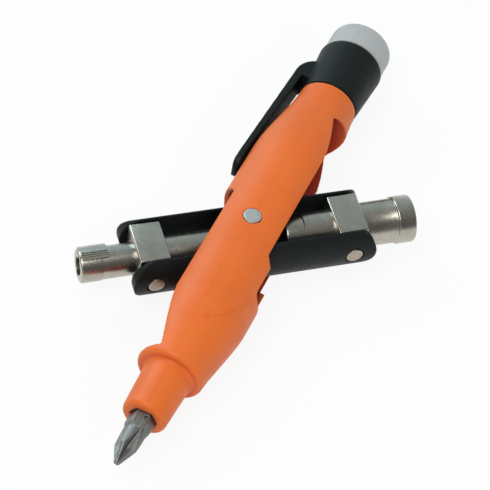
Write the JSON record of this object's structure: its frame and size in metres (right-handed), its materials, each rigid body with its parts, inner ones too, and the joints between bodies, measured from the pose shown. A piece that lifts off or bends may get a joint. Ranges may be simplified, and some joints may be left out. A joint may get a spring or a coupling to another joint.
{
  "type": "multi-function cabinet key",
  "caption": "Pen-shaped cabinet key: slotted round barrel with a swing-out link carrying double-ended socket keys, a reversible bit in the nose, a press lamp and a pocket clip.",
  "frame": {"origin": "centre of the pivot rivet's rear face, on the axis that the link swings about", "axes": "+Y along the barrel towards the lamp, +Z along the pivot axis towards the front of the tool, +X to the right seen from the front"},
  "size_m": [0.0815, 0.172, 0.025],
  "materials": {
    "orange_plastic": "satin moulded plastic, bright orange",
    "black_plastic": "fine matte moulded plastic, near black",
    "zinc_plated_steel": "bright zinc plating over turned steel",
    "rivet_steel": "satin steel",
    "washer_nylon": "plain",
    "tool_steel": "dark ground tool steel",
    "magnet_nickel": "nickel plated",
    "frosted_lens": "frosted translucent plastic",
    "led_resin": "clear resin",
    "circuit_board": "green solder mask",
    "resistor_ceramic": "plain",
    "cell_can": "nickel plated steel",
    "contact_brass": "stamped sheet"
  },
  "bodies": {
    "handle": {"barrel": "orange_plastic", "clip_cap": "black_plastic", "pivot_rivet": "rivet_steel", "front_washer": "washer_nylon", "rear_washer": "washer_nylon", "bit_magnet": "magnet_nickel", "switch_dome": "contact_brass", "battery_cell_1": "cell_can", "battery_cell_2": "cell_can", "battery_cell_3": "cell_can", "battery_contact": "contact_brass"},
    "link": {"link_frame": "black_plastic", "left_key_rivet": "rivet_steel", "right_key_rivet": "rivet_steel"},
    "key_left": {"left_key": "zinc_plated_steel"},
    "key_right": {"right_key": "zinc_plated_steel"},
    "driver_bit": {"bit": "tool_steel"},
    "lamp_button": {"lamp_lens": "frosted_lens", "lamp_led": "led_resin", "lamp_board": "circuit_board", "lamp_resistor": "resistor_ceramic"}
  },
  "joints": [
    {"name": "link_swing", "type": "hinge", "parent": "handle", "child": "link", "pos_m": [0, 0, 0.0117], "axis": [0, 0, 1], "range_deg": [-40, 50]},
    {"name": "left_key_turn", "type": "hinge", "parent": "link", "child": "key_left", "pos_m": [-0.02214, -0.01858, 0.0117], "axis": [0.6428, -0.766, 0], "range_deg": [-4, 4]},
    {"name": "right_key_turn", "type": "hinge", "parent": "link", "child": "key_right", "pos_m": [0.02214, 0.01858, 0.0117], "axis": [-0.6428, 0.766, 0], "range_deg": [-4, 4]},
    {"name": "bit_slide", "type": "slide", "parent": "handle", "child": "driver_bit", "axis": [0, -1, 0], "range_m": [0, 0.032]},
    {"name": "lamp_press", "type": "slide", "parent": "handle", "child": "lamp_button", "axis": [0, -1, 0], "range_m": [0, 0.0005], "stiffness_N_per_m": 800}
  ]
}
